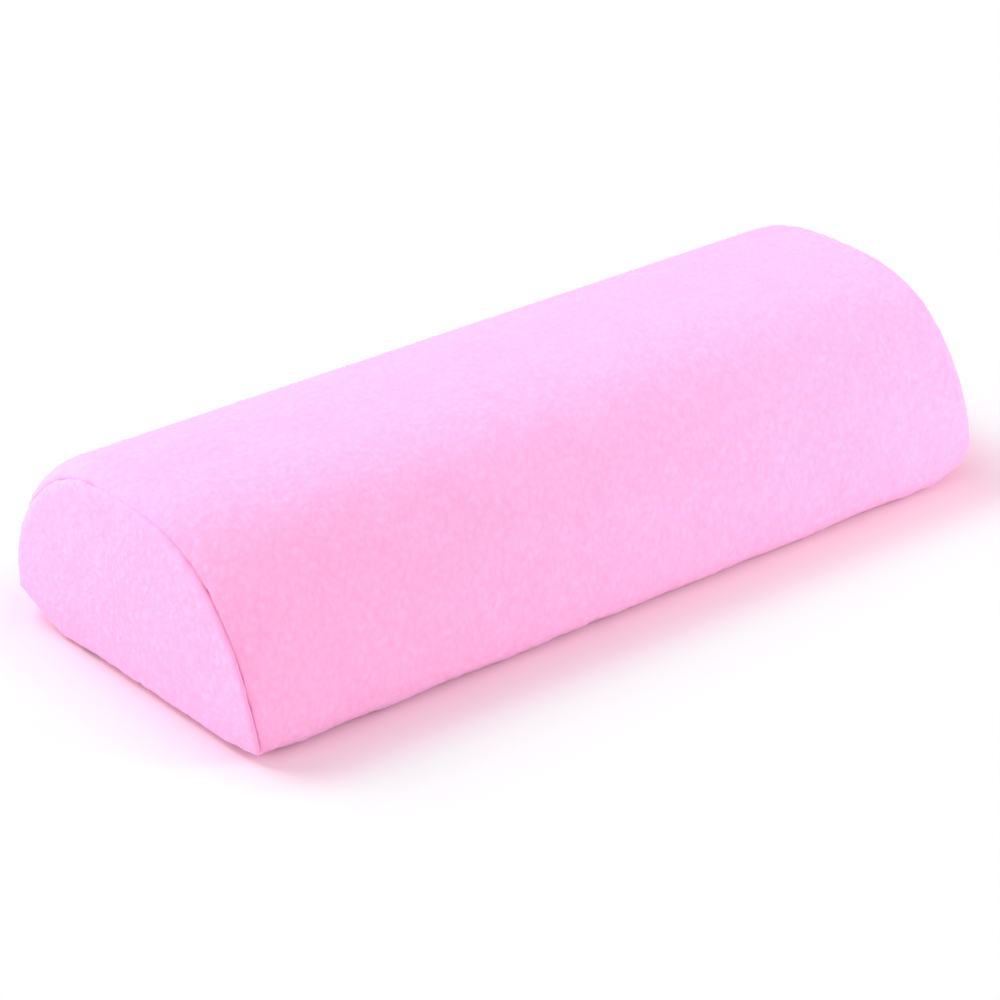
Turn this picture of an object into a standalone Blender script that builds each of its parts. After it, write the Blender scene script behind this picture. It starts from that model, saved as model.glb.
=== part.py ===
"""Half-round manicure hand rest: a foam block in a sewn pile-cloth cover with a zip in its base.

X runs along the rest, Y across it from front to rear, and Z up from the table. The origin is
the middle of the base. All sizes are in metres.
"""

import math

import bmesh
import bpy
from mathutils import Vector

# Outer size of the covered rest
LENGTH = 0.290
DEPTH = 0.129
HEIGHT = 0.063

# The arch is a rounded D: z = height * (1 - |2y / depth| ** ARCH_SIDE) ** (1 / ARCH_TOP)
ARCH_SIDE = 2.7
ARCH_TOP = 1.93

# Edges of the stuffed cover
BASE_EDGE = 0.0075
END_ROUND = 0.0085
END_INSET = 0.0050
BASE_RISE = 0.0032
END_CROWN = 0.0015
END_CENTRE = 0.027

# Cloth and seams
CLOTH = 0.0022
SEAM_GAP = 0.0006
END_SEAM_TURN = math.radians(52)
BASE_SEAM_TURN = math.radians(56)
FIT = 0.0003

# Hems beside the zip
ZIP_Y = 0.020
ZIP_OPENING = 0.0104
HEM_WIDTH = 0.0090
HEM_GAP = 0.0003

# Zip chain: woven tapes with the coils on their inner face
TAPE_WIDTH = 0.0115
TAPE_THICKNESS = 0.0005
CHANNEL = 0.0012
COIL_WIDTH = 0.0016
COIL_HEIGHT = 0.0014

# Zip slider
SLIDER_LENGTH = 0.0084
SLIDER_NOSE = 0.0074
SLIDER_TAIL = 0.0058
PLATE = 0.0008
FLANGE = 0.0006
FLANGE_LENGTH = 0.0066
POST_LENGTH = 0.0030
POST_WIDTH = 0.0006
SLIDER_PARK = 0.0260

# Ring on the slider that holds the pull
RING_RADIUS = 0.00115
RING_WIRE = 0.00032
RING_WIDTH = 0.0014
RING_SINK = 0.00025

# Pull tab
PULL_LENGTH = 0.0200
PULL_WIDTH = 0.0050
PULL_TIP = 0.0062
PULL_THICKNESS = 0.0009
PULL_EDGE = 0.00012
PULL_CORNER = 0.0006
WINDOW_CORNER = 0.0003
CROSSBAR = 0.0009
WINDOW_LENGTH = 0.0024
WINDOW_WIDTH = 0.0026
EYE_LENGTH = 0.0060
EYE_WIDTH = 0.0024
EYE_FROM_TIP = 0.0022
TIP_LIFT = 0.0003

# Facets
ARCH_STEPS = 36
CORNER_STEPS = 4
SEAM_STEPS = 3
BASE_STEPS = 8
END_STEPS = 5
RIM_STEPS = 4
CROWN_STEPS = 3
EDGE_STEPS = 2
ARC_STEPS = 4
RING_STEPS = 24
WIRE_STEPS = 8
FOLD_STEPS = 6

# Places worked out from the sizes above
HALF = LENGTH / 2
END_START = HALF - END_CROWN - END_ROUND
BASE_HALF = DEPTH / 2 - BASE_EDGE
MID = CLOTH / 2
INSIDE = CLOTH + FIT
FOLD_RADIUS = (CLOTH + HEM_GAP) / 2
HEM_TOP = 2 * CLOTH + HEM_GAP
TAPE_BOTTOM = HEM_TOP + FIT
TAPE_TOP = TAPE_BOTTOM + TAPE_THICKNESS
COIL_BOTTOM = TAPE_TOP + FIT
COIL_TOP = COIL_BOTTOM + COIL_HEIGHT
OUTER_PLATE = TAPE_BOTTOM - FIT - PLATE / 2
INNER_PLATE = COIL_TOP + FIT + PLATE / 2
SLIDER_TOP = INNER_PLATE + PLATE / 2
SLIDER_X = HALF - SLIDER_PARK
RING_Z = OUTER_PLATE - PLATE / 2 - RING_RADIUS - RING_WIRE + RING_SINK
PULL_REACH = PULL_LENGTH - CROSSBAR / 2
PULL_DROP = math.asin((RING_Z - PULL_THICKNESS / 2 - TIP_LIFT) / PULL_REACH)


def clear_scene():
    for item in list(bpy.data.objects):
        bpy.data.objects.remove(item, do_unlink=True)


def collection(name):
    group = bpy.data.collections.new(name)
    bpy.context.scene.collection.children.link(group)
    return group


def material(name, colour, roughness, metallic=0.0):
    look = bpy.data.materials.new(name)
    look.use_nodes = True
    shader = look.node_tree.nodes["Principled BSDF"]
    shader.inputs["Base Color"].default_value = (*colour, 1.0)
    shader.inputs["Roughness"].default_value = roughness
    shader.inputs["Metallic"].default_value = metallic
    look.diffuse_color = (*colour, 1.0)
    return look


# Shape of the stuffed rest

def section(w, inset, rise):
    """Point (y, z) of the closed D outline: w runs 0 to 1 round the front base edge, 1 to 2 over
    the arch, 2 to 3 round the rear base edge and 3 to 4 back along the base."""
    if w > 3:
        return BASE_HALF * (7 - 2 * w), rise
    if 1 <= w <= 2:
        across = -math.cos(math.pi * (w - 1))
        up = (1 - abs(across) ** ARCH_SIDE) ** (1 / ARCH_TOP)
        return (DEPTH / 2 - inset) * across, BASE_EDGE + (HEIGHT - BASE_EDGE - inset) * up
    side = -1 if w < 1 else 1
    turn = math.pi / 2 * (1 - w if w < 1 else w - 2)
    y = BASE_HALF + (BASE_EDGE - inset) * math.cos(turn)
    return side * y, BASE_EDGE - (BASE_EDGE - rise) * math.sin(turn)


def end_line(side, turn, shrink=1.0):
    """A line round the rest: side is -1 or 1, turn how far it is round the end's edge, and
    shrink its size on the end face."""
    return side, turn, shrink


def line_x(line, depth):
    side, turn, shrink = line
    return side * (END_START + (END_ROUND - depth) * math.sin(turn) + END_CROWN * (1 - shrink ** 2))


def line_rise(line, depth):
    return depth + (BASE_RISE - MID) * (1 - math.cos(line[1]))


def place_on_body(line, w, depth):
    """Point of the body's surface, moved inwards by depth."""
    inset = depth + (END_INSET - MID) * (1 - math.cos(line[1]))
    y, z = section(w, inset, line_rise(line, depth))
    shrink = line[2]
    return Vector((line_x(line, depth), y * shrink, END_CENTRE + (z - END_CENTRE) * shrink))


def steps(start, stop, count):
    return [start + (stop - start) * i / count for i in range(count + 1)]


def edge_lines(turn):
    """Lines from the left end's edge to the right end's, both at the given turn."""
    left = [end_line(-1, a) for a in steps(turn, 0, END_STEPS)]
    right = [end_line(1, a) for a in steps(0, turn, END_STEPS)]
    return left + right


def outline_rows():
    """Rows round the whole closed outline, the last on the first."""
    rows = steps(0, 1, CORNER_STEPS)[:-1] + steps(1, 2, ARCH_STEPS)[:-1]
    rows += steps(2, 3, CORNER_STEPS)[:-1] + steps(3, 4, BASE_STEPS)
    return rows


# Making objects

def grid_mesh(lines, rows, place, closed=False):
    """A grid whose point at line i and row j is place(lines[i], rows[j])."""
    bm = bmesh.new()
    bmesh.ops.create_grid(bm, x_segments=len(lines) - 1, y_segments=len(rows) - 1, size=0.5)
    for vert in bm.verts:
        i = round((vert.co.x + 0.5) * (len(lines) - 1))
        j = round((vert.co.y + 0.5) * (len(rows) - 1))
        vert.co = place(lines[i], rows[j])
    if closed:
        bmesh.ops.remove_doubles(bm, verts=bm.verts, dist=1e-6)
        bmesh.ops.recalc_face_normals(bm, faces=bm.faces)
    return bm


def add_object(name, bm, look, group, origin=(0, 0, 0)):
    mesh = bpy.data.meshes.new(name)
    bm.to_mesh(mesh)
    bm.free()
    item = bpy.data.objects.new(name, mesh)
    item.location = origin
    group.objects.link(item)
    if look:
        mesh.materials.append(look)
    mesh.shade_smooth()
    mesh.set_sharp_from_angle(angle=math.radians(40))
    return item


def thicken(item, thickness):
    shell = item.modifiers.new("Thickness", "SOLIDIFY")
    shell.thickness = thickness
    shell.offset = 0
    shell.use_even_offset = True


def hide(item):
    item.hide_render = True
    item.display_type = "WIRE"


def combine(item, other, operation):
    joint = item.modifiers.new(operation.title(), "BOOLEAN")
    joint.operation = operation
    joint.object = other
    joint.solver = "EXACT"


# Cover

def make_top_panel(look, group):
    seam = BASE_SEAM_TURN / (math.pi / 2)
    rows = steps(1 - seam, 1, SEAM_STEPS)[:-1] + steps(1, 2, ARCH_STEPS)
    rows += steps(2, 2 + seam, SEAM_STEPS)[1:]
    bm = grid_mesh(edge_lines(END_SEAM_TURN), rows, lambda n, w: place_on_body(n, w, MID))
    thicken(add_object("top_panel", bm, look, group), CLOTH)


def make_end_panel(name, side, look, group):
    first = END_SEAM_TURN + SEAM_GAP / (END_INSET - MID)
    lines = [end_line(side, a) for a in steps(first, math.pi / 2, RIM_STEPS)]
    lines += [end_line(side, math.pi / 2, s) for s in steps(1, 0, CROWN_STEPS)[1:]]
    bm = grid_mesh(lines, outline_rows(), lambda n, w: place_on_body(n, w, MID), closed=True)
    thicken(add_object(name, bm, look, group), CLOTH)


def make_base_panel(name, side, look, group):
    """Base cloth from the long seam to the zip, where it is folded back on itself as a hem."""
    seam = BASE_SEAM_TURN + SEAM_GAP / (BASE_EDGE - MID)
    corner = [("edge", a) for a in steps(seam, math.pi / 2, EDGE_STEPS)]
    fold_y = ZIP_Y + side * (ZIP_OPENING / 2 + MID + FOLD_RADIUS)
    flat = [("flat", y, 0) for y in steps(side * BASE_HALF, fold_y, BASE_STEPS)[1:]]
    fold = []
    for angle in steps(0, math.pi, FOLD_STEPS)[1:]:
        y = fold_y - side * FOLD_RADIUS * math.sin(angle)
        fold.append(("flat", y, FOLD_RADIUS * (1 - math.cos(angle))))
    hem_y = fold_y + side * HEM_WIDTH
    hem = [("flat", hem_y, 2 * FOLD_RADIUS)]

    def place(line, row):
        if row[0] == "edge":
            w = 1 - row[1] / (math.pi / 2) if side < 0 else 2 + row[1] / (math.pi / 2)
            return place_on_body(line, w, MID)
        return Vector((line_x(line, MID), row[1], line_rise(line, MID) + row[2]))

    bm = grid_mesh(edge_lines(END_SEAM_TURN), corner + flat + fold + hem, place)
    thicken(add_object(name, bm, look, group), CLOTH)


# Foam

def make_foam(look, group, cutters):
    """Foam block that fills the cover, pressed in over the hems and the zip."""
    lines = []
    for side in (-1, 1):
        crown = [end_line(side, math.pi / 2, s) for s in steps(0, 1, CROWN_STEPS)[:-1]]
        edge = [end_line(side, a) for a in steps(math.pi / 2, 0, END_STEPS)]
        part = crown + edge
        lines += part if side < 0 else part[::-1]
    bm = grid_mesh(lines, outline_rows(), lambda n, w: place_on_body(n, w, INSIDE), closed=True)
    foam = add_object("foam_core", bm, look, group)
    hem_reach = ZIP_OPENING / 2 + MID + FOLD_RADIUS + HEM_WIDTH + FIT
    slider_reach = SLIDER_NOSE / 2 + FIT
    grooves = (("hem_groove", hem_reach, TAPE_TOP + BASE_RISE),
               ("slider_groove", slider_reach, SLIDER_TOP))
    for name, reach, top in grooves:
        cutter = bmesh.new()
        bmesh.ops.create_cube(cutter, size=1)
        bmesh.ops.scale(cutter, verts=cutter.verts, vec=(LENGTH, 2 * reach, 2 * (top + FIT)))
        groove = add_object(name, cutter, None, cutters, (0, ZIP_Y, 0))
        hide(groove)
        combine(foam, groove, "DIFFERENCE")


# Zip

def make_strip(name, near, far, bottom, thickness, look, group):
    """A flat strip along the zip, between two distances from its middle."""
    middle = bottom + thickness / 2

    def place(line, y):
        return Vector((line_x(line, MID), ZIP_Y + y, line_rise(line, MID) - MID + middle))

    bm = grid_mesh(edge_lines(END_SEAM_TURN), [near, far], place)
    thicken(add_object(name, bm, look, group), thickness)


def make_chain(tape_look, coil_look, group):
    for name, side in (("front", -1), ("rear", 1)):
        near = side * CHANNEL / 2
        tape_far = near + side * TAPE_WIDTH
        coil_far = near + side * COIL_WIDTH
        make_strip("zip_tape_" + name, near, tape_far, TAPE_BOTTOM, TAPE_THICKNESS, tape_look, group)
        make_strip("zip_coil_" + name, near, coil_far, COIL_BOTTOM, COIL_HEIGHT, coil_look, group)


def slider_block(name, size, centre, look, group):
    """A block of a length, nose width, tail width and height. It narrows from the slider's nose,
    at +X, to its tail."""
    length, nose, tail, height = size
    bm = bmesh.new()
    bmesh.ops.create_cube(bm, size=1)
    for vert in bm.verts:
        vert.co.y *= nose if vert.co.x > 0 else tail
        vert.co.x *= length
        vert.co.z *= height
    bmesh.ops.translate(bm, verts=bm.verts, vec=centre)
    return add_object(name, bm, look, group, (SLIDER_X, ZIP_Y, 0))


def make_slider(look, group, cutters):
    """Two plates joined by a post, flanges beside the coils, and a ring for the pull."""
    plate = (SLIDER_LENGTH, SLIDER_NOSE, SLIDER_TAIL, PLATE)
    slider = slider_block("zip_slider", plate, (0, 0, OUTER_PLATE), look, group)
    pieces = [slider_block("inner_plate", plate, (0, 0, INNER_PLATE), None, cutters)]
    post = (POST_LENGTH, POST_WIDTH, POST_WIDTH, INNER_PLATE - OUTER_PLATE)
    post_at = ((SLIDER_LENGTH - POST_LENGTH) / 2, 0, (INNER_PLATE + OUTER_PLATE) / 2)
    pieces.append(slider_block("post", post, post_at, None, cutters))
    flange_bottom = TAPE_TOP + FIT
    flange = (FLANGE_LENGTH, FLANGE, FLANGE, INNER_PLATE - flange_bottom)
    for side in (-1, 1):
        at = (0, side * (SLIDER_TAIL - FLANGE) / 2, (INNER_PLATE + flange_bottom) / 2)
        pieces.append(slider_block("flange", flange, at, None, cutters))
    bpy.ops.mesh.primitive_torus_add(major_radius=RING_RADIUS, minor_radius=RING_WIRE,
                                     major_segments=RING_STEPS, minor_segments=WIRE_STEPS,
                                     location=(SLIDER_X, ZIP_Y, RING_Z))
    ring = bpy.context.object
    ring.name = "ring"
    for vert in ring.data.vertices:
        x, y, z = vert.co
        vert.co = (x, z * RING_WIDTH / (2 * RING_WIRE), -y)
    for owner in list(ring.users_collection):
        owner.objects.unlink(ring)
    cutters.objects.link(ring)
    pieces.append(ring)
    for piece in pieces:
        hide(piece)
        combine(slider, piece, "UNION")
    return slider


def add_outline(curve, points):
    spline = curve.splines.new("POLY")
    spline.points.add(len(points) - 1)
    for point, (x, y) in zip(spline.points, points):
        point.co = (x, y, 0, 1)
    spline.use_cyclic_u = True


def rounded_box(x0, x1, width0, width1, radius):
    """Outline of a tapering box with round corners, from x0, width0 to x1, width1."""
    corners = ((x0, -width0 / 2, 1, 1, 180), (x1, -width1 / 2, -1, 1, 270))
    corners += ((x1, width1 / 2, -1, -1, 0), (x0, width0 / 2, 1, -1, 90))
    points = []
    for x, y, inward_x, inward_y, start in corners:
        for degrees in steps(start, start + 90, ARC_STEPS):
            angle = math.radians(degrees)
            cx = x + inward_x * radius
            cy = y + inward_y * radius
            points.append((cx + radius * math.cos(angle), cy + radius * math.sin(angle)))
    return points


def make_pull(look, group, slider):
    """Flat tab whose crossbar turns in the slider's ring, with a long eye near its tip. It hangs
    down towards the closed chain until its tip meets the table."""
    curve = bpy.data.curves.new("zip_pull", "CURVE")
    curve.dimensions = "2D"
    curve.fill_mode = "BOTH"
    curve.extrude = PULL_THICKNESS / 2 - PULL_EDGE
    curve.bevel_depth = PULL_EDGE
    curve.bevel_resolution = 1
    curve.offset = -PULL_EDGE
    near = -CROSSBAR / 2
    tip = PULL_REACH
    add_outline(curve, rounded_box(near, tip, PULL_WIDTH, PULL_TIP, PULL_CORNER))
    window = -near
    window_end = window + WINDOW_LENGTH
    add_outline(curve, rounded_box(window, window_end, WINDOW_WIDTH, WINDOW_WIDTH, WINDOW_CORNER))
    eye_end = tip - EYE_FROM_TIP
    eye_round = EYE_WIDTH / 2 - PULL_EDGE
    add_outline(curve, rounded_box(eye_end - EYE_LENGTH, eye_end, EYE_WIDTH, EYE_WIDTH, eye_round))
    pull = bpy.data.objects.new("zip_pull", curve)
    curve.materials.append(look)
    group.objects.link(pull)
    pull.rotation_euler = (0, PULL_DROP, math.pi)
    pull.parent = slider
    pull.location = (0, 0, RING_Z)
    weld = pull.modifiers.new("Join caps", "WELD")
    weld.merge_threshold = 1e-6


def main():
    clear_scene()
    rest = collection("manicure_hand_rest")
    cutters = collection("cutters")
    pile = material("pink_pile_cloth", (0.95, 0.43, 0.70), 0.95)
    foam = material("white_foam", (0.86, 0.83, 0.74), 0.9)
    tape = material("pink_zip_tape", (0.88, 0.41, 0.65), 0.85)
    coil = material("pink_nylon", (0.90, 0.46, 0.68), 0.45)
    nickel = material("nickel_plate", (0.80, 0.80, 0.81), 0.3, 1.0)
    make_foam(foam, rest, cutters)
    make_top_panel(pile, rest)
    make_end_panel("left_end_panel", -1, pile, rest)
    make_end_panel("right_end_panel", 1, pile, rest)
    make_base_panel("base_front_panel", -1, pile, rest)
    make_base_panel("base_rear_panel", 1, pile, rest)
    make_chain(tape, coil, rest)
    slider = make_slider(nickel, rest, cutters)
    make_pull(nickel, rest, slider)


main()
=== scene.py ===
"""Looks of the half-round manicure hand rest: pile cloth, seams, foam, zip, light and camera.
Lengths are in metres."""

import math

import bpy
import numpy as np
from mathutils import Matrix, Vector, noise


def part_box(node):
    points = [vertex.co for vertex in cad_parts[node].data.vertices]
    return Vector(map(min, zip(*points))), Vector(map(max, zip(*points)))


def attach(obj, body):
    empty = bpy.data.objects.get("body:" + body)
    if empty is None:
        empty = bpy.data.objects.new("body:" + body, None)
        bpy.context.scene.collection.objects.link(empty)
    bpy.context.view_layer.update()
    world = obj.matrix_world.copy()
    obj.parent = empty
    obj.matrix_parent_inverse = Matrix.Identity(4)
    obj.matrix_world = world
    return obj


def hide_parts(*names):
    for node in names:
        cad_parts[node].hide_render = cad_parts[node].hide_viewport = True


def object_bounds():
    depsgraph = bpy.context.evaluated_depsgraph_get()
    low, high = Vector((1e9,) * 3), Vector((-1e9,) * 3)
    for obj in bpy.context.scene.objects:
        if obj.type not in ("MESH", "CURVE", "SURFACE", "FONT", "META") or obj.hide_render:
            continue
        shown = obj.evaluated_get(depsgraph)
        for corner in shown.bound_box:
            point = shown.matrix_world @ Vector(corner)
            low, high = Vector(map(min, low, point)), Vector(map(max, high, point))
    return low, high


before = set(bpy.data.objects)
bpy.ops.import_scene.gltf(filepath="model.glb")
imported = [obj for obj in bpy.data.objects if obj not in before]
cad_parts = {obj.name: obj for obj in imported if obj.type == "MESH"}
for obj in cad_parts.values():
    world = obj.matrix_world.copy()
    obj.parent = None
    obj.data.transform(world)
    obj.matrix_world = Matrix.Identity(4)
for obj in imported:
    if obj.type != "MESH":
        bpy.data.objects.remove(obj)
CAD_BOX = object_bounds()

# Size of the rest, from the frame
LENGTH, DEPTH, HEIGHT = CAD_BOX[1] - CAD_BOX[0]
HALF = LENGTH / 2

# Form of the stuffed cover. -1 is the left end and 1 the right one.
ARCH_SIDE = 2.85
ARCH_TOP = 1.60
BASE_EDGE = 0.0055
END_ROUND = {-1: 0.0110, 1: 0.0042}
END_INSET = {-1: 0.0065, 1: 0.0062}
BASE_RISE = 0.0014
END_CROWN = 0.0015
END_CENTRE = 0.027
END_SEAM_TURN = {-1: math.radians(68), 1: math.radians(56)}
BASE_SEAM_TURN = math.radians(56)
END_START = {side: HALF - END_CROWN - END_ROUND[side] for side in (-1, 1)}
BASE_HALF = DEPTH / 2 - BASE_EDGE

# Zip, from its nodes
TAPE_LOW, TAPE_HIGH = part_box("zip_tape_front")
COIL_LOW, COIL_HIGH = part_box("zip_coil_front")
FRONT_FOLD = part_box("base_front_panel")[1].y
REAR_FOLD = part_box("base_rear_panel")[0].y
ZIP_Y = (FRONT_FOLD + REAR_FOLD) / 2

# Cloth mesh
CLOTH_STEP = 0.0032
SEAM_STEP = 0.0012
SUBDIVISIONS = 2
SKIN = 0.0004
POLE = 0.03

# Cloth simulation
FRAMES = 20
QUALITY = 6
CLOTH_MASS = 0.2
STRETCH = 12
SHEAR = 4
BENDING = 0.6
PRESSURE = 1.6
BASE_HOLD = 1.0
HOLD = 0.3
SEAM_SHRINK = 0.035
SHRINK_MEAN = 0.65
SHRINK_CHANGE = 0.35
SHRINK_LENGTH = 0.011
SHRINK_SEED = 1
MOVE_CAP = 0.0012

# Seams
SEAM_VALLEY = 0.00012
SEAM_TUCK = 0.0021
CORNER_TUCK = 0.25
CORNER_TUCK_POINTS = 5
SEAM_OVERLAP = 0.00046
PUCKER = 0.00045
PUCKER_LENGTH = 0.0042
PUCKER_REACH = 0.0028
PUCKER_SEED = 7

# Pile: how high it stands, its tufts, how it fades beside seams and corners, and its painted shade
# beside the seams
PILE_HEIGHT = 0.00036
END_PILE = 0.55
BASE_PILE = 0.6
TUFT_ALONG = 0.0021
TUFT_DOWN = 0.0027
TUFT_BEND = 0.45
TUFT_BEND_SCALE = 2.5
FINE_SCALE = 0.5
FINE_SHARE = 0.7
BROAD_LENGTH = 0.012
BROAD_SHARE = 0.15
PILE_MEAN = 0.45
PILE_START = -0.0006
PILE_FADE = 0.0016
# Share of the painted seam shade left off on the upper rear of the left end
SEAM_FADE = 0.8
SEAM_PILE = 0.75
CORNER_BARE = (0.003, 0.009)
FLOOR_CLEAR = 0.00002
SEEDS = {"cover_top": 11, "cover_left_end": 21, "cover_right_end": 31,
         "cover_base_rear": 41, "cover_base_front": 51}
NOISE_SHIFT = (7.31, 3.17, 5.73)

# Slack in the stuffing: the waves of the base edges, and the form of the left end
EDGE_WAVE = 0.0009
EDGE_WAVE_TOP = 0.010
EDGE_WAVE_SIDE = 0.02
EDGE_WAVE_MEAN = 0.5
EDGE_WAVE_LENGTH = 0.034
EDGE_WAVE_STRETCH = (1, 0.2, 0)
EDGE_WAVE_SEED = 3
END_FILL = 0.0056
END_FILL_TOP = HEIGHT / 4
CORNER_TURN = 0.0034
CORNER_TURN_REACH = 0.017
CORNER_TURN_TOP = HEIGHT / 3
END_LIFT = 0.0008
END_LIFT_REACH = 0.02
END_LIFT_FADE = (ZIP_Y - 0.003, ZIP_Y + 0.001)

# Corners of the base that the foam doesn't fill: end, side, lift and how far they lie inwards
CORNERS = ((1, -1, 0.0062, 0.0022), (-1, 1, 0.0085, 0.0050))
CORNER_REACH = 0.026
CORNER_TOP = HEIGHT * 0.6

# Hems and foam
HEM_HEIGHT = TAPE_LOW.z - 0.0009
HEM_WIDTH = 0.009
HEM_FOLDS = 5
FOAM_DEPTH = 0.0024
HEM_CLEAR = TAPE_HIGH.z + 0.0012
ZIP_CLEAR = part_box("zip_slider")[1].z + 0.0004
HEM_REACH = 0.016
ZIP_REACH = 0.004
FOAM_SLOPE = 0.0025
FOAM_LOW = 0.012

# Zip
TAPE_INNER = 0.0005
TAPE_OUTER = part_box("zip_tape_rear")[1].y - ZIP_Y
TAPE_CLOTH = 0.00042
TAPE_POINTS = 9
COIL_PITCH = 0.00125
COIL_MIDDLE = 0.0013
COIL_REACH = 0.00068
COIL_RISE = 0.00045
COIL_WIRE = 0.00024
COIL_TURN = 10
METAL_EDGE = 0.00012
METAL_ANGLE = math.radians(40)

# Hem stitches
STITCH_FROM_FOLD = 0.0024
STITCH_LENGTH = 0.0026
STITCH_GAP = 0.0006
STITCH_THREAD = 0.00016
STITCH_SINK = 0.0004
STITCH_START = 0.004
STITCH_POINTS = 6

# Colours
# The pile's own colour at the tips, and a darker one that is painted shade for the hollows between
# the tufts and a band beside the seams
PILE_TIP = (0.955, 0.445, 0.72, 1.0)
PILE_SHADED = (0.92, 0.365, 0.62, 1.0)
PILE_PALE = (0.965, 0.48, 0.76, 1.0)
PILE_WARM = (0.96, 0.42, 0.67, 1.0)
TAPE_LIGHT = (0.90, 0.44, 0.68, 1.0)
TAPE_DARK = (0.78, 0.33, 0.56, 1.0)
COIL_COLOUR = (0.90, 0.46, 0.68, 1.0)
THREAD_COLOUR = (0.92, 0.42, 0.68, 1.0)
METAL_COLOUR = (0.80, 0.80, 0.81, 1.0)
FOAM_LIGHT = (0.86, 0.83, 0.74, 1.0)
FOAM_DARK = (0.78, 0.74, 0.64, 1.0)
SHEEN_TINT = (1.0, 0.82, 0.97, 1.0)
WHITE = (1, 1, 1, 1)
BLACK = (0, 0, 0, 1)
AMBIENT = (0.52, 0.505, 0.53, 1.0)

# Grain of the materials, in waves to the metre, and how deep it is
PILE_MOTTLE = 420
PILE_PATCH = 38
PILE_FIBRE = 1500
FOAM_CELLS = 900
FOAM_TONE = 60
TAPE_RIBS = 420
MOTTLE_DEPTH = 0.00035
FIBRE_DEPTH = 0.00018
CELL_DEPTH = 0.0005
RIB_DEPTH = 0.00012

# Shares of the pile's colours: the first range turns how high the pile stands into its painted shade
TIP_RANGE = (0.15, 0.95)
PALE_RANGE = (0.3, 0.7)
PALE_SHARE = 0.2
WARM_RANGE = (0.35, 0.75)
WARM_SHARE = 0.18

# Floor: what it shows beside the rest, where a painted pink glow stands for light thrown back by the
# cloth, and farther out
FLOOR_SIZE = 6.0
FLOOR_SEEN = (0.70, 0.70, 0.70, 1.0)
FLOOR_OTHER = (0.8, 0.8, 0.8, 1.0)
FLOOR_GLOW = (0.07, 0.07, 0.07, 1.0)
# Painted pink glow of bounced light on the floor beside the rest, and below how far it reaches
PAINTED_BOUNCE_PINK = (0.86, 0.57, 0.67, 1.0)
FLOOR_CORNER = 0.02
PAINTED_BOUNCE_REACH = 0.026
FLOOR_NEAR = 0.035
FLOOR_FAR = 0.09

# Lamps: place, target, size, power and colour
LAMPS = {
    "key": ((-0.35, 0.95, 0.98), (0, 0, 0.02), (0.9, 0.9), 20, (1.0, 0.97, 1.0)),
    "left": ((-1.3, -0.05, 0.50), (0, 0, 0.03), (0.8, 0.8), 7.0, (1.0, 0.98, 1.0)),
    "fill": ((0.9, -1.2, 0.45), (0, 0, 0.03), (1.2, 0.8), 3, (1.0, 0.97, 0.98)),
    "right": ((0.42, -0.50, 0.30), (0.12, -0.06, 0.02), (0.3, 0.3), 2.6, (1.0, 0.98, 0.99)),
}

# Camera, worked out from the outline in the photo
CAMERA_AZIMUTH = -39.66
CAMERA_ELEVATION = 26.70
CAMERA_DISTANCE = 1.1091
CAMERA_RIGHT = 0.00247
CAMERA_UP = -0.01118
CAMERA_LENS = 128.57
CAMERA_SENSOR = 36
CAMERA_CLIP = (0.05, 20)


def between(start, stop, step, least=1):
    """Evenly spaced values from start to stop, about step apart."""
    count = max(least, round(abs(stop - start) / step))
    return list(np.linspace(start, stop, count + 1))


def smooth(low, high, value):
    share = np.clip((value - low) / (high - low), 0.0, 1.0)
    return share * share * (3 - 2 * share)


# Form of the body

def section(w, inset, rise):
    """Points (y, z) of the closed D outline: w runs 0 to 1 round the front base edge, 1 to 2
    over the arch, 2 to 3 round the rear base edge and 3 to 4 back along the base."""
    w = np.asarray(w, float)
    across = -np.cos(math.pi * np.clip(w - 1, 0, 1))
    up = np.maximum(1 - np.abs(across) ** ARCH_SIDE, 0) ** (1 / ARCH_TOP)
    y = (DEPTH / 2 - inset) * across
    z = BASE_EDGE + (HEIGHT - BASE_EDGE - inset) * up
    turn = math.pi / 2 * np.where(w < 1, 1 - w, w - 2)
    edge = (w < 1) | ((w > 2) & (w <= 3))
    side = np.where(w < 1, -1, 1)
    y = np.where(edge, side * (BASE_HALF + (BASE_EDGE - inset) * np.cos(turn)), y)
    z = np.where(edge, BASE_EDGE - (BASE_EDGE - rise) * np.sin(turn), z)
    y = np.where(w > 3, BASE_HALF * (7 - 2 * w), y)
    z = np.where(w > 3, rise, z)
    return y, z


def body_line(line, w, depth=SKIN):
    """One line round the body. A line is its share along the straight part, its turn round the
    end's edge and its size on the end face."""
    share, turn, shrink = line
    side = -1 if share < 0 else 1
    inset = depth + END_INSET[side] * (1 - math.cos(turn))
    rise = depth + BASE_RISE * (1 - math.cos(turn))
    y, z = section(w, inset, rise)
    end = (END_ROUND[side] - depth) * math.sin(turn) + END_CROWN * (1 - shrink ** 2)
    x = np.full(len(w), abs(share) * END_START[side] + end) * side
    return np.stack([x, y * shrink, END_CENTRE + (z - END_CENTRE) * shrink], 1)


def outline_rows():
    """Values of w round the outline about a cloth step apart, closer at the seams, and the rows
    of the two long seams and of the two folds beside the zip."""
    dense = np.linspace(0, 4, 4001)
    y, z = section(dense, 0, 0)
    run = np.concatenate([[0], np.cumsum(np.hypot(np.diff(y), np.diff(z)))])
    seam = BASE_SEAM_TURN / (math.pi / 2)
    fold = [3 + (1 - y / BASE_HALF) / 2 for y in (REAR_FOLD, FRONT_FOLD)]
    marks = [1 - seam, 2 + seam, fold[0], fold[1], 5 - seam]
    runs = list(np.interp(marks[:-1], dense, run))
    runs.append(runs[0] + run[-1])
    rows, keys = [], []
    for first, last in zip(runs, runs[1:]):
        keys.append(len(rows))
        middle = between(first + SEAM_STEP, last - SEAM_STEP, CLOTH_STEP)
        rows += [first] + middle
    w = np.interp(np.mod(rows, run[-1]), run, dense)
    return w, np.array(rows) - rows[0], keys


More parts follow.
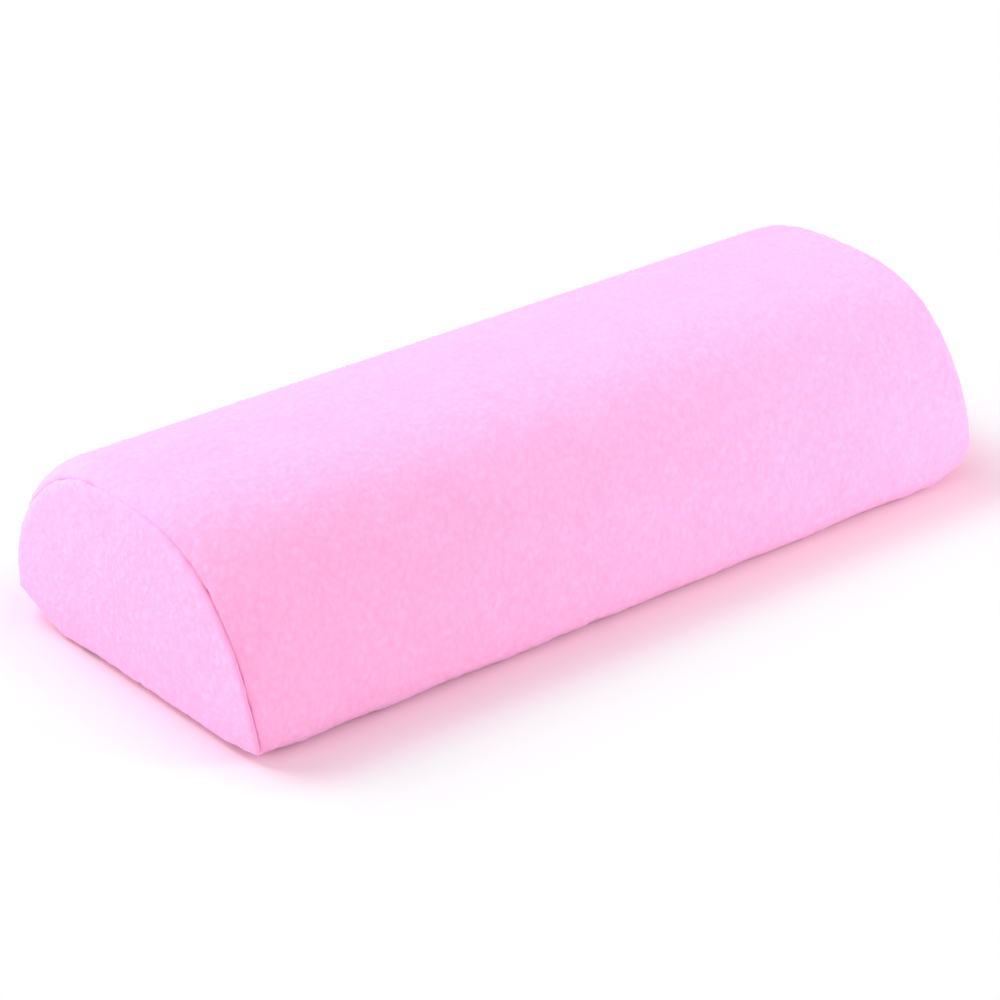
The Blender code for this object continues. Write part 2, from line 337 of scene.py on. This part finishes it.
def end_lines(side):
    """Lines from the middle of an end to where the straight part starts, and the number of the
    one on the seam."""
    crown = [(side, math.pi / 2, shrink) for shrink in between(POLE, 1, CLOTH_STEP * 2 / DEPTH)]
    gap = SEAM_STEP / END_ROUND[side]
    seam = END_SEAM_TURN[side]
    turns = between(math.pi / 2, seam + gap, CLOTH_STEP / END_ROUND[side])[1:]
    turns.append(seam)
    turns += between(seam - gap, 0, CLOTH_STEP / END_ROUND[side])
    lines = crown + [(side, turn, 1) for turn in turns]
    return lines, lines.index((side, seam, 1))


def body_lines():
    """Lines from the middle of the left end to the middle of the right one, and the numbers of
    the two lines on the end seams."""
    left, left_seam = end_lines(-1)
    right, right_seam = end_lines(1)
    straight = [(share, 0, 1) for share in between(-1, 1, CLOTH_STEP / HALF)[1:-1]]
    lines = left + straight + right[::-1]
    return lines, (left_seam, len(lines) - 1 - right_seam)


# Meshes from grids of points

def grid_mesh(name, points, wrap=False, caps=(False, False), values=None):
    """A mesh of a grid of points, facing out of the body, with its first or last line capped."""
    rows, columns, _ = points.shape
    faces = []
    for i in range(rows - 1):
        for j in range(columns if wrap else columns - 1):
            k = (j + 1) % columns
            here, beyond = i * columns, (i + 1) * columns
            faces.append((here + j, beyond + j, beyond + k, here + k))
    if caps[0]:
        faces.append(tuple(range(columns)))
    if caps[1]:
        faces.append(tuple(range(rows * columns - 1, (rows - 1) * columns - 1, -1)))
    mesh = bpy.data.meshes.new(name)
    mesh.from_pydata(points.reshape(-1, 3).tolist(), [], faces)
    for key, value in (values or {}).items():
        layer = mesh.attributes.new(key, "FLOAT", "POINT")
        layer.data.foreach_set("value", np.ascontiguousarray(value, dtype=np.float32).reshape(-1))
    mesh.update()
    return mesh


def add_object(name, data):
    item = bpy.data.objects.new(name, data)
    bpy.context.scene.collection.objects.link(item)
    return item


def coordinates(mesh):
    points = np.empty(len(mesh.vertices) * 3, dtype=np.float32)
    mesh.vertices.foreach_get("co", points)
    return points.reshape(-1, 3).astype(float)


def set_coordinates(mesh, points):
    mesh.vertices.foreach_set("co", np.ascontiguousarray(points, dtype=np.float32).reshape(-1))
    mesh.update()


def normals(mesh):
    values = np.empty(len(mesh.vertices) * 3, dtype=np.float32)
    mesh.vertex_normals.foreach_get("vector", values)
    return values.reshape(-1, 3).astype(float)


def attribute(mesh, key):
    values = np.empty(len(mesh.vertices), dtype=np.float32)
    mesh.attributes[key].data.foreach_get("value", values)
    return values.astype(float)


def evaluated_mesh(item):
    graph = bpy.context.evaluated_depsgraph_get()
    return bpy.data.meshes.new_from_object(item.evaluated_get(graph))


def subdivided(mesh, levels):
    item = add_object("subdividing", mesh)
    finer = item.modifiers.new("Subdivision", "SUBSURF")
    finer.levels = levels
    finer.render_levels = levels
    result = evaluated_mesh(item)
    bpy.data.objects.remove(item)
    return result


# Cloth simulation of the whole cover

def simulate(points, seam_weights, base):
    """The closed cover under the push of its foam: it swells a little between the seams, and the
    seams, which are shorter than the cloth beside them, pull in and pucker."""
    item = add_object("cover_sim", grid_mesh("cover_sim", points, True, (True, True)))
    hold = item.vertex_groups.new(name="hold")
    shrink = item.vertex_groups.new(name="shrink")
    for vertex, flat in enumerate(base.reshape(-1)):
        hold.add([vertex], BASE_HOLD if flat else HOLD, "REPLACE")
    for vertex, weight in enumerate(seam_weights.reshape(-1)):
        if weight > 0:
            shrink.add([vertex], float(weight), "REPLACE")
    cloth = item.modifiers.new("Cloth", "CLOTH")
    settings = cloth.settings
    settings.quality = QUALITY
    settings.mass = CLOTH_MASS
    settings.tension_stiffness = STRETCH
    settings.compression_stiffness = STRETCH
    settings.shear_stiffness = SHEAR
    settings.bending_stiffness = BENDING
    settings.vertex_group_mass = "hold"
    settings.vertex_group_shrink = "shrink"
    settings.shrink_max = SEAM_SHRINK
    settings.use_pressure = True
    settings.uniform_pressure_force = PRESSURE
    settings.effector_weights.gravity = 0
    cloth.collision_settings.use_collision = False
    cloth.collision_settings.use_self_collision = False
    for step in range(1, FRAMES + 1):
        bpy.context.scene.frame_set(step)
    moved = evaluated_mesh(item)
    change = coordinates(moved) - points.reshape(-1, 3)
    bpy.data.objects.remove(item)
    bpy.context.scene.frame_set(1)
    reach = np.linalg.norm(change, axis=1, keepdims=True)
    change *= np.minimum(1, MOVE_CAP / np.maximum(reach, 1e-9))
    return points + change.reshape(points.shape)


def noise_at(points, scale, seed):
    """Smooth noise from -1 to 1 at each point, with waves about scale long."""
    shift = Vector([seed * value for value in NOISE_SHIFT])
    scales = np.broadcast_to(np.asarray(scale, float), (3,))
    return np.array([noise.noise(Vector(p) + shift) for p in (points / scales).tolist()])


def slack(points):
    """What the photo shows of the stuffing: the base edges wave a little, the foam doesn't fill
    two corners of the base and fills a third, and the left end stands up a little in front of
    the zip."""
    result = points.copy()
    flat = result.reshape(-1, 3)
    x, y, z = flat.T.copy()
    low = 1 - smooth(0.0, EDGE_WAVE_TOP, z)
    side = smooth(BASE_HALF - EDGE_WAVE_SIDE, BASE_HALF, np.abs(y))
    wave = noise_at(flat * np.array(EDGE_WAVE_STRETCH), EDGE_WAVE_LENGTH, EDGE_WAVE_SEED)
    flat[:, 2] += EDGE_WAVE * low * side * (EDGE_WAVE_MEAN + wave)
    left = smooth(HALF - END_LIFT_REACH, HALF, -x)
    flat[:, 2] += END_LIFT * low * left * (1 - smooth(*END_LIFT_FADE, y))
    turned = np.clip((-x - END_START[-1]) / END_ROUND[-1], 0, 1)
    filled = (1 - np.sqrt(1 - turned ** 2)) * (1 - smooth(END_FILL_TOP, HEIGHT, z))
    flat[:, 1] -= END_FILL * filled * smooth(0.0, DEPTH / 2, -y)
    beside = np.clip((-y - DEPTH / 2 + CORNER_TURN_REACH) / CORNER_TURN_REACH, 0, 1) ** 2
    flat[:, 0] += CORNER_TURN * beside * left * (1 - smooth(0.0, CORNER_TURN_TOP, z))
    under = 1 - smooth(0.0, CORNER_TOP, z)
    for end, edge, lift, inward in CORNERS:
        share = np.clip((x * end - (HALF - CORNER_REACH)) / CORNER_REACH, 0, 1) ** 2
        share = share * smooth(DEPTH / 4, DEPTH / 2, y * edge) * under
        flat[:, 2] += lift * share
        flat[:, 1] -= edge * inward * share
    return result


# Cover

def make_cover():
    """Grid of the whole cover, simulated, with the rows and lines that its seams follow."""
    w, across, keys = outline_rows()
    lines, end_seams = body_lines()
    points = np.array([body_line(line, w) for line in lines])
    base = np.zeros(points.shape[:2], bool)
    base[:, w > 3] = True
    base[:, w < 1 - BASE_SEAM_TURN / math.pi * 2] = True
    seams = np.zeros(points.shape[:2])
    for line in end_seams:
        seams[line] = 1
    first, last = end_seams
    for row in keys[:2]:
        seams[first:last + 1, row] = 1
    uneven = noise_at(points.reshape(-1, 3), SHRINK_LENGTH, SHRINK_SEED).reshape(seams.shape)
    seams *= SHRINK_MEAN + SHRINK_CHANGE * uneven
    points = simulate(points, seams, base)
    points[..., 2] = np.maximum(points[..., 2], SKIN)
    points = slack(points)
    return points, across, keys, end_seams, grid_normals(points, True)


def tucked(points, axis, at_start, inward, depth):
    """The grid with one more line, turned in at a seam."""
    points = points if axis == 0 else points.swapaxes(0, 1)
    edge, beside = (points[0], points[1]) if at_start else (points[-1], points[-2])
    away = beside - edge
    away /= np.maximum(np.linalg.norm(away, axis=1, keepdims=True), 1e-9)
    line = edge - inward * depth - away * SEAM_OVERLAP
    edge_line = edge - inward * SEAM_VALLEY - away * SEAM_OVERLAP
    if at_start:
        points = np.concatenate([line[None], edge_line[None], points[1:]])
    else:
        points = np.concatenate([points[:-1], edge_line[None], line[None]])
    return points if axis == 0 else points.swapaxes(0, 1)


def grid_normals(points, wrap):
    """Outward normal at each point of a grid."""
    along = np.gradient(points, axis=0)
    if wrap:
        padded = np.concatenate([points[:, -1:], points, points[:, :1]], axis=1)
        down = (padded[:, 2:] - padded[:, :-2]) / 2
    else:
        down = np.gradient(points, axis=1)
    out = np.cross(along, down)
    return out / np.maximum(np.linalg.norm(out, axis=2, keepdims=True), 1e-12)


def pile(mesh, seed, height):
    """Raises the tufts of the pile on a fine mesh, lower beside the seams, and keeps how high
    each point stands for the cloth's colour, which paints shade between the tufts and in a band
    beside the seams."""
    points = coordinates(mesh)
    out = normals(mesh)
    along, down, seam = (attribute(mesh, key) for key in ("along", "down", "seam"))
    flat = np.stack([along, down, np.zeros(len(along))], 1)
    scale = np.array([TUFT_ALONG, TUFT_DOWN, 1.0])
    bend = TUFT_BEND * noise_at(flat, scale * TUFT_BEND_SCALE, seed + 1)[:, None] * scale
    tuft = np.abs(noise_at(flat + bend, scale, seed))
    fine = np.abs(noise_at(flat, scale * FINE_SCALE, seed + 2))
    broad = noise_at(flat, BROAD_LENGTH, seed + 3)
    raised = tuft + FINE_SHARE * fine + BROAD_SHARE * broad - PILE_MEAN
    fade = smooth(PILE_START, PILE_FADE, seam)
    lift = height * raised * (SEAM_PILE + (1 - SEAM_PILE) * fade) * smooth(-SEAM_TUCK, 0.0, seam)
    pucker = noise_at(points, PUCKER_LENGTH, PUCKER_SEED) * np.exp(-np.abs(seam) / PUCKER_REACH)
    lift += PUCKER * pucker
    from_corner = np.hypot(HALF - np.abs(points[:, 0]), DEPTH / 2 - np.abs(points[:, 1]))
    lift *= smooth(*CORNER_BARE, np.hypot(from_corner, points[:, 2]))
    points += out * lift[:, None]
    points[:, 2] = np.maximum(points[:, 2], FLOOR_CLEAR)
    set_coordinates(mesh, points)
    x, y, z = points.T
    # Painted shade: the colour value drops in a band beside the seams, except on the upper rear of
    # the left end, where strong light washes the seam out
    seam_shade_left_off = SEAM_FADE * smooth(-DEPTH / 4, 0.0, y) * smooth(HEIGHT / 4, HEIGHT / 2, z) * (x < 0)
    fade = 1 - (1 - smooth(PILE_START, PILE_FADE * 2, seam)) * (1 - seam_shade_left_off)
    layer = mesh.attributes.new("pile", "FLOAT", "POINT")
    layer.data.foreach_set("value", np.clip(0.5 * fade + raised * fade, 0, 1).astype(np.float32))
    for key in ("along", "down", "seam"):
        mesh.attributes.remove(mesh.attributes[key])


def finish_cloth(name, mesh, look, nodes, height):
    fine = subdivided(mesh, SUBDIVISIONS)
    pile(fine, SEEDS[name], height)
    fine.shade_smooth()
    fine.materials.clear()
    fine.materials.append(look)
    item = add_object(name, fine)
    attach(item, "cover")
    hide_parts(*nodes)


def seam_distance(points, edges):
    """How far each point of a grid is from its seams, counted in length along the grid."""
    distance = np.full(points.shape[:2], 1.0)
    for axis, at_start in edges:
        grid = points if axis == 0 else points.swapaxes(0, 1)
        grid = grid if at_start else grid[::-1]
        run = np.concatenate([np.zeros((1, grid.shape[1])),
                              np.cumsum(np.linalg.norm(np.diff(grid, axis=0), axis=2), axis=0)])
        run = run if at_start else run[::-1]
        run = run if axis == 0 else run.T
        distance = np.minimum(distance, run)
    return distance


def tuck_depth(count, has_corners):
    """How deep each point of a seam is turned in: less near the corners, where three panels
    meet."""
    depth = np.full((count, 1), SEAM_TUCK)
    if has_corners:
        from_corner = np.minimum(np.arange(count), np.arange(count)[::-1])
        depth[:, 0] *= CORNER_TUCK + (1 - CORNER_TUCK) * smooth(0, CORNER_TUCK_POINTS, from_corner)
    return depth


def with_tucks(points, out, edges):
    """A panel's grid with its seam edges turned in, and its distance from them, which is below
    zero on what is turned in."""
    distance = seam_distance(points, edges)
    for axis, at_start in edges:
        inward = out if axis == 0 else out.swapaxes(0, 1)
        inward = inward[0] if at_start else inward[-1]
        depth = tuck_depth(points.shape[1 - axis], len(edges) > 1)
        points = tucked(points, axis, at_start, inward, depth)
        width = ((1, 0) if at_start else (0, 1), (0, 0))
        distance = np.pad(distance, width if axis == 0 else width[::-1], constant_values=-SEAM_TUCK)
        out = np.pad(out, (*(width if axis == 0 else width[::-1]), (0, 0)), mode="edge")
    for i, near_i in ((0, 1), (-1, -2)):
        for j, near_j in ((0, 1), (-1, -2)):
            if (0, i == 0) in edges and (1, j == 0) in edges:
                points[i, j] = (points[i, near_j] + points[near_i, j]) / 2
    return points, distance


def make_top(grid, look):
    points, across, keys, (first, last), out = grid
    part = (slice(first, last + 1), slice(keys[0], keys[1] + 1))
    panel, seam = with_tucks(points[part], out[part], ((0, True), (0, False), (1, True), (1, False)))
    down = np.broadcast_to(np.pad(across[keys[0]:keys[1] + 1], 1, mode="edge"), panel.shape[:2])
    mesh = grid_mesh("cover_top", panel, values={"along": panel[..., 0], "down": down, "seam": seam})
    finish_cloth("cover_top", mesh, look, ["top_panel"], PILE_HEIGHT)


def make_end(grid, side, look):
    first, last = grid[3]
    ordered, out = grid[0][:first + 1], grid[4][:first + 1]
    if side > 0:
        ordered, out = grid[0][last:][::-1, ::-1], grid[4][last:][::-1, ::-1]
    ordered, seam = with_tucks(ordered, out, ((0, False),))
    values = {"along": ordered[..., 1], "down": ordered[..., 2], "seam": seam}
    name = "cover_left_end" if side < 0 else "cover_right_end"
    node = "left_end_panel" if side < 0 else "right_end_panel"
    mesh = grid_mesh(name, ordered, True, (True, False), values)
    finish_cloth(name, mesh, look, [node], PILE_HEIGHT * END_PILE)


def make_base(grid, side, look):
    """Base cloth from its long seam to the zip, where it is folded back as a hem."""
    points, _, keys, (first, last), out = grid
    rear_rows = list(range(keys[1], keys[2] + 1))
    front_rows = [0] + list(range(len(points[0]) - 1, keys[3] - 1, -1))
    rows = rear_rows if side > 0 else front_rows
    panel = points[first:last + 1][:, rows]
    facing = out[first:last + 1][:, rows]
    fold = panel[:, -1:]
    radius = HEM_HEIGHT / 2
    lines = []
    for angle in np.linspace(0, math.pi, HEM_FOLDS + 1)[1:]:
        shift = np.array([0, -side * radius * math.sin(angle), radius * (1 - math.cos(angle))])
        lines.append(fold + shift)
    for reach in between(0, HEM_WIDTH, CLOTH_STEP)[1:]:
        lines.append(fold + np.array([0, side * reach, HEM_HEIGHT]))
    panel = np.concatenate([panel] + lines, axis=1)
    facing = np.pad(facing, ((0, 0), (0, len(lines)), (0, 0)), mode="edge")
    if side < 0:
        panel, facing = panel[:, ::-1], facing[:, ::-1]
    sewn = (1, side > 0)
    edges = ((0, True), (0, False), sewn)
    panel, seam = with_tucks(panel, facing, edges)
    steps = np.linalg.norm(np.diff(panel[len(panel) // 2], axis=0), axis=1)
    run = np.concatenate([[0], np.cumsum(steps)])
    down = np.broadcast_to(run, panel.shape[:2])
    place = "rear" if side > 0 else "front"
    name, node = "cover_base_" + place, "base_" + place + "_panel"
    mesh = grid_mesh(name, panel, values={"along": panel[..., 0], "down": down, "seam": seam})
    finish_cloth(name, mesh, look, [node], PILE_HEIGHT * BASE_PILE)


# Foam

def make_foam(grid, look):
    """Foam block, a cloth's thickness inside the cover, dented over the hems and the zip."""
    points, out = grid[0], grid[4]
    inner = points - out * FOAM_DEPTH
    y, z = inner[..., 1], inner[..., 2]
    reach = np.abs(y - ZIP_Y)
    over_hems = HEM_CLEAR * (1 - smooth(HEM_REACH, HEM_REACH + FOAM_SLOPE, reach))
    over_zip = ZIP_CLEAR * (1 - smooth(ZIP_REACH, ZIP_REACH + FOAM_SLOPE, reach))
    dent = np.maximum(over_hems, over_zip)
    inner[..., 2] = np.where(z < FOAM_LOW, np.maximum(z, dent), z)
    inner[..., 2] = np.maximum(inner[..., 2], FOAM_DEPTH)
    mesh = grid_mesh("foam_block", inner, True, (True, True))
    mesh = subdivided(mesh, 1)
    mesh.shade_smooth()
    mesh.materials.clear()
    mesh.materials.append(look)
    item = add_object("foam_block", mesh)
    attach(item, "cover")
    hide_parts("foam_core")


# Zip and stitches

def zip_line(grid):
    """How the base runs beside the zip: x and lift of each line from seam to seam."""
    points, _, keys, (first, last), _ = grid
    run = points[first:last + 1, keys[2]]
    return run[:, 0], run[:, 2] - SKIN


def make_tape(grid, side, look):
    """One half of the zip's tape, woven, with its inner edge beside the coil."""
    x, lift = zip_line(grid)
    y = np.linspace(TAPE_INNER, TAPE_OUTER, TAPE_POINTS) * side + ZIP_Y
    middle = (TAPE_LOW.z + TAPE_HIGH.z) / 2
    points = np.stack(np.broadcast_arrays(x[:, None], y[None], (middle + lift)[:, None]), 2)
    name = "tape_rear" if side > 0 else "tape_front"
    item = add_object(name, grid_mesh(name, points))
    thick = item.modifiers.new("Thickness", "SOLIDIFY")
    thick.thickness = TAPE_CLOTH
    thick.offset = 0
    item.data.materials.append(look)
    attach(item, "cover")
    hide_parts("zip_" + name)


def make_coil(grid, side, look):
    """Row of teeth: a wound wire that lies along the tape's inner edge."""
    x, lift = zip_line(grid)
    turns = (x[-1] - x[0] - 2 * COIL_REACH) / COIL_PITCH
    turn = np.arange(0, turns, 1 / COIL_TURN)
    along = x[0] + COIL_REACH + turn * COIL_PITCH
    angle = 2 * math.pi * turn + (math.pi if side > 0 else 0)
    middle = (COIL_LOW.z + COIL_HIGH.z) / 2
    y = ZIP_Y + side * (COIL_MIDDLE - COIL_REACH * np.cos(angle))
    z = middle + COIL_RISE * np.sin(angle) + np.interp(along, x, lift)
    name = "coil_rear" if side > 0 else "coil_front"
    item = add_object(name, wire(name, [np.stack([along, y, z], 1)], COIL_WIRE))
    item.data.materials.append(look)
    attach(item, "cover")
    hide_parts("zip_" + name)


def wire(name, lines, radius):
    curve = bpy.data.curves.new(name, "CURVE")
    curve.dimensions = "3D"
    curve.bevel_depth = radius
    curve.bevel_resolution = 1
    curve.use_fill_caps = True
    for line in lines:
        spline = curve.splines.new("POLY")
        spline.points.add(len(line) - 1)
        values = np.ones((len(line), 4))
        values[:, :3] = line
        spline.points.foreach_set("co", values.reshape(-1))
    return curve


def make_stitches(grid, side, look):
    """A row of stitches on the hem, with their ends sunk in the cloth."""
    x, lift = zip_line(grid)
    y = (REAR_FOLD if side > 0 else FRONT_FOLD) + side * STITCH_FROM_FOLD
    share = np.linspace(0, 1, STITCH_POINTS)
    deep = STITCH_THREAD + STITCH_SINK * (1 - np.sin(math.pi * share) ** 0.5)
    first, last = x[0] + STITCH_START, x[-1] - STITCH_START - STITCH_LENGTH
    lines = []
    for start in np.arange(first, last, STITCH_LENGTH + STITCH_GAP):
        along = start + share * STITCH_LENGTH
        across = np.full(STITCH_POINTS, y)
        lines.append(np.stack([along, across, deep + np.interp(along, x, lift)], 1))
    name = "stitches_rear" if side > 0 else "stitches_front"
    item = add_object(name, wire(name, lines, STITCH_THREAD))
    item.data.materials.append(look)
    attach(item, "cover")


def finish_metal(name, look):
    item = bpy.data.objects[name]
    item.data.materials.clear()
    item.data.materials.append(look)
    soft = item.modifiers.new("Soft edges", "BEVEL")
    soft.width = METAL_EDGE
    soft.segments = 2
    soft.limit_method = "ANGLE"
    soft.angle_limit = METAL_ANGLE


# Materials

def new_material(name):
    look = bpy.data.materials.new(name)
    look.use_nodes = True
    nodes = look.node_tree.nodes
    return look, nodes, look.node_tree.links, nodes["Principled BSDF"]


def noise_node(nodes, links, place, scale, detail=2.0, roughness=0.5):
    node = nodes.new("ShaderNodeTexNoise")
    node.inputs["Scale"].default_value = scale
    node.inputs["Detail"].default_value = detail
    node.inputs["Roughness"].default_value = roughness
    links.new(place.outputs["Object"], node.inputs["Vector"])
    return node


def mix_node(nodes, links, share, low, high):
    node = nodes.new("ShaderNodeMix")
    node.data_type = "RGBA"
    links.new(share, node.inputs["Factor"])
    for socket, value in (("A", low), ("B", high)):
        if isinstance(value, tuple):
            node.inputs[socket].default_value = value
        else:
            links.new(value, node.inputs[socket])
    return node.outputs["Result"]


def range_node(nodes, links, value, low, high, to_low=0.0, to_high=1.0):
    node = nodes.new("ShaderNodeMapRange")
    node.inputs["From Min"].default_value = low
    node.inputs["From Max"].default_value = high
    node.inputs["To Min"].default_value = to_low
    node.inputs["To Max"].default_value = to_high
    links.new(value, node.inputs["Value"])
    return node.outputs["Result"]


def bump_node(nodes, links, height, distance, strength=1.0, normal=None):
    node = nodes.new("ShaderNodeBump")
    node.inputs["Strength"].default_value = strength
    node.inputs["Distance"].default_value = distance
    links.new(height, node.inputs["Height"])
    if normal is not None:
        links.new(normal, node.inputs["Normal"])
    return node.outputs["Normal"]


def pile_material():
    """Short pink pile: lighter at the tips, darker between the tufts and beside the seams as painted
    shade, with a soft sheen.
    """
    look, nodes, links, shader = new_material("pink_pile")
    place = nodes.new("ShaderNodeTexCoord")
    stand = nodes.new("ShaderNodeAttribute")
    stand.attribute_name = "pile"
    mottle = noise_node(nodes, links, place, PILE_MOTTLE)
    patch = noise_node(nodes, links, place, PILE_PATCH)
    fibre = noise_node(nodes, links, place, PILE_FIBRE, 3, 0.65)
    # Painted shade: the pile is darker where it stands low, between the tufts and beside the seams
    unshaded_share = range_node(nodes, links, stand.outputs["Fac"], *TIP_RANGE)
    colour = mix_node(nodes, links, unshaded_share, PILE_SHADED, PILE_TIP)
    pale = range_node(nodes, links, mottle.outputs["Fac"], *PALE_RANGE, 0.0, PALE_SHARE)
    warm = range_node(nodes, links, patch.outputs["Fac"], *WARM_RANGE, 0.0, WARM_SHARE)
    colour = mix_node(nodes, links, pale, colour, PILE_PALE)
    colour = mix_node(nodes, links, warm, colour, PILE_WARM)
    links.new(colour, shader.inputs["Base Color"])
    shader.inputs["Roughness"].default_value = 1.0
    shader.inputs["Specular IOR Level"].default_value = 0.15
    shader.inputs["Sheen Weight"].default_value = 0.2
    shader.inputs["Sheen Roughness"].default_value = 0.55
    shader.inputs["Sheen Tint"].default_value = SHEEN_TINT
    rough = bump_node(nodes, links, mottle.outputs["Fac"], MOTTLE_DEPTH, 0.5)
    fuzzy = bump_node(nodes, links, fibre.outputs["Fac"], FIBRE_DEPTH, 0.5, rough)
    links.new(fuzzy, shader.inputs["Normal"])
    return look


def foam_material():
    look, nodes, links, shader = new_material("open_foam")
    place = nodes.new("ShaderNodeTexCoord")
    cells = nodes.new("ShaderNodeTexVoronoi")
    cells.inputs["Scale"].default_value = FOAM_CELLS
    links.new(place.outputs["Object"], cells.inputs["Vector"])
    tone = noise_node(nodes, links, place, FOAM_TONE, 3)
    shade = range_node(nodes, links, tone.outputs["Fac"], 0.3, 0.7)
    links.new(mix_node(nodes, links, shade, FOAM_DARK, FOAM_LIGHT), shader.inputs["Base Color"])
    shader.inputs["Roughness"].default_value = 0.95
    dented = bump_node(nodes, links, cells.outputs["Distance"], CELL_DEPTH, 0.8)
    links.new(dented, shader.inputs["Normal"])
    return look


def tape_material():
    """Woven polyester tape: fine ribs across it."""
    look, nodes, links, shader = new_material("woven_tape")
    place = nodes.new("ShaderNodeTexCoord")
    weave = nodes.new("ShaderNodeTexWave")
    weave.bands_direction = "DIAGONAL"
    weave.inputs["Scale"].default_value = TAPE_RIBS
    weave.inputs["Distortion"].default_value = 0.4
    links.new(place.outputs["Object"], weave.inputs["Vector"])
    colour = mix_node(nodes, links, weave.outputs["Fac"], TAPE_DARK, TAPE_LIGHT)
    links.new(colour, shader.inputs["Base Color"])
    shader.inputs["Roughness"].default_value = 0.8
    ribbed = bump_node(nodes, links, weave.outputs["Fac"], RIB_DEPTH, 0.7)
    links.new(ribbed, shader.inputs["Normal"])
    return look


def plain_material(name, colour, roughness, metallic=0.0):
    look, _, _, shader = new_material(name)
    shader.inputs["Base Color"].default_value = colour
    shader.inputs["Roughness"].default_value = roughness
    shader.inputs["Metallic"].default_value = metallic
    return look


# Floor, light and camera

def floor_distance(nodes, links):
    """How far a point of the floor is from the rest's foot."""
    place = nodes.new("ShaderNodeTexCoord")
    value = place.outputs["Object"]
    foot = (HALF - FLOOR_CORNER, DEPTH / 2 - FLOOR_CORNER, 0)
    for operation, operand in (("ABSOLUTE", None), ("SUBTRACT", foot), ("MAXIMUM", (0, 0, 0))):
        node = nodes.new("ShaderNodeVectorMath")
        node.operation = operation
        links.new(value, node.inputs[0])
        if operand is not None:
            node.inputs[1].default_value = operand
        value = node.outputs[0]
    node = nodes.new("ShaderNodeVectorMath")
    node.operation = "LENGTH"
    links.new(value, node.inputs[0])
    return node.outputs["Value"]


def make_floor():
    """White table top: near the rest it takes its shadow, and a painted pink glow stands for the
    light the pink cloth throws back on it; farther out it is as white as the background."""
    mesh = bpy.data.meshes.new("floor")
    signs = ((-1, -1), (1, -1), (1, 1), (-1, 1))
    mesh.from_pydata([(x * FLOOR_SIZE, y * FLOOR_SIZE, 0) for x, y in signs], [], [(0, 1, 2, 3)])
    floor = add_object("floor", mesh)
    look, nodes, links, shader = new_material("white_floor")
    shader.inputs["Roughness"].default_value = 1.0
    shader.inputs["Specular IOR Level"].default_value = 0.0
    seen = seen_directly(nodes, links)
    distance = floor_distance(nodes, links)
    # Painted pink bounce light beside the rest's foot, which also darkens the green and blue a
    # little as painted shade
    beside = range_node(nodes, links, distance, FLOOR_CORNER, FLOOR_CORNER + PAINTED_BOUNCE_REACH)
    far = range_node(nodes, links, distance, FLOOR_NEAR, FLOOR_FAR)
    near = mix_node(nodes, links, beside, PAINTED_BOUNCE_PINK, FLOOR_SEEN)
    base = mix_node(nodes, links, far, near, BLACK)
    glow = mix_node(nodes, links, far, FLOOR_GLOW, WHITE)
    links.new(mix_node(nodes, links, seen, FLOOR_OTHER, base), shader.inputs["Base Color"])
    links.new(mix_node(nodes, links, seen, BLACK, glow), shader.inputs["Emission Color"])
    shader.inputs["Emission Strength"].default_value = 1.0
    mesh.materials.append(look)


def seen_directly(nodes, links):
    """1 where the camera, a reflection or glass looks straight at the surface."""
    path = nodes.new("ShaderNodeLightPath")
    total = path.outputs["Is Camera Ray"]
    for name in ("Is Glossy Ray", "Is Transmission Ray"):
        add = nodes.new("ShaderNodeMath")
        add.operation = "MAXIMUM"
        links.new(total, add.inputs[0])
        links.new(path.outputs[name], add.inputs[1])
        total = add.outputs[0]
    return total


def make_world():
    world = bpy.data.worlds.new("studio")
    bpy.context.scene.world = world
    world.use_nodes = True
    nodes, links = world.node_tree.nodes, world.node_tree.links
    sky = nodes["Background"]
    colour = mix_node(nodes, links, seen_directly(nodes, links), AMBIENT, WHITE)
    links.new(colour, sky.inputs["Color"])
    sky.inputs["Strength"].default_value = 1.0


def add_lamp(name, place, target, size, power, colour):
    data = bpy.data.lights.new(name, "AREA")
    data.shape = "RECTANGLE"
    data.size, data.size_y = size
    data.energy = power
    data.color = colour
    lamp = add_object(name, data)
    lamp.location = place
    lamp.rotation_mode = "QUATERNION"
    lamp.rotation_quaternion = (Vector(target) - Vector(place)).to_track_quat("-Z", "Y")


def make_camera():
    azimuth, elevation = math.radians(CAMERA_AZIMUTH), math.radians(CAMERA_ELEVATION)
    level = math.cos(elevation)
    back = Vector((math.sin(azimuth) * level, -math.cos(azimuth) * level, math.sin(elevation)))
    right = (-back).cross(Vector((0, 0, 1))).normalized()
    up = right.cross(-back)
    data = bpy.data.cameras.new("camera")
    data.sensor_width = CAMERA_SENSOR
    data.lens = CAMERA_LENS
    camera = add_object("camera", data)
    turn = Matrix((right, up, back)).transposed().to_4x4()
    place = back * CAMERA_DISTANCE - right * CAMERA_RIGHT - up * CAMERA_UP
    camera.matrix_world = Matrix.Translation(place) @ turn
    data.clip_start, data.clip_end = CAMERA_CLIP
    bpy.context.scene.camera = camera


def main():
    grid = make_cover()
    cloth = pile_material()
    make_top(grid, cloth)
    make_end(grid, -1, cloth)
    make_end(grid, 1, cloth)
    make_base(grid, 1, cloth)
    make_base(grid, -1, cloth)
    make_foam(grid, foam_material())
    tape = tape_material()
    coil = plain_material("coil_plastic", COIL_COLOUR, 0.35)
    thread = plain_material("thread", THREAD_COLOUR, 0.7)
    for side in (-1, 1):
        make_tape(grid, side, tape)
        make_coil(grid, side, coil)
        make_stitches(grid, side, thread)
    metal = plain_material("plated_metal", METAL_COLOUR, 0.22, 1.0)
    finish_metal("zip_slider", metal)
    finish_metal("zip_pull", metal)
    make_floor()
    make_world()
    for name, lamp in LAMPS.items():
        add_lamp(name, *lamp)
    make_camera()
    bpy.context.scene.view_settings.view_transform = "Standard"


main()
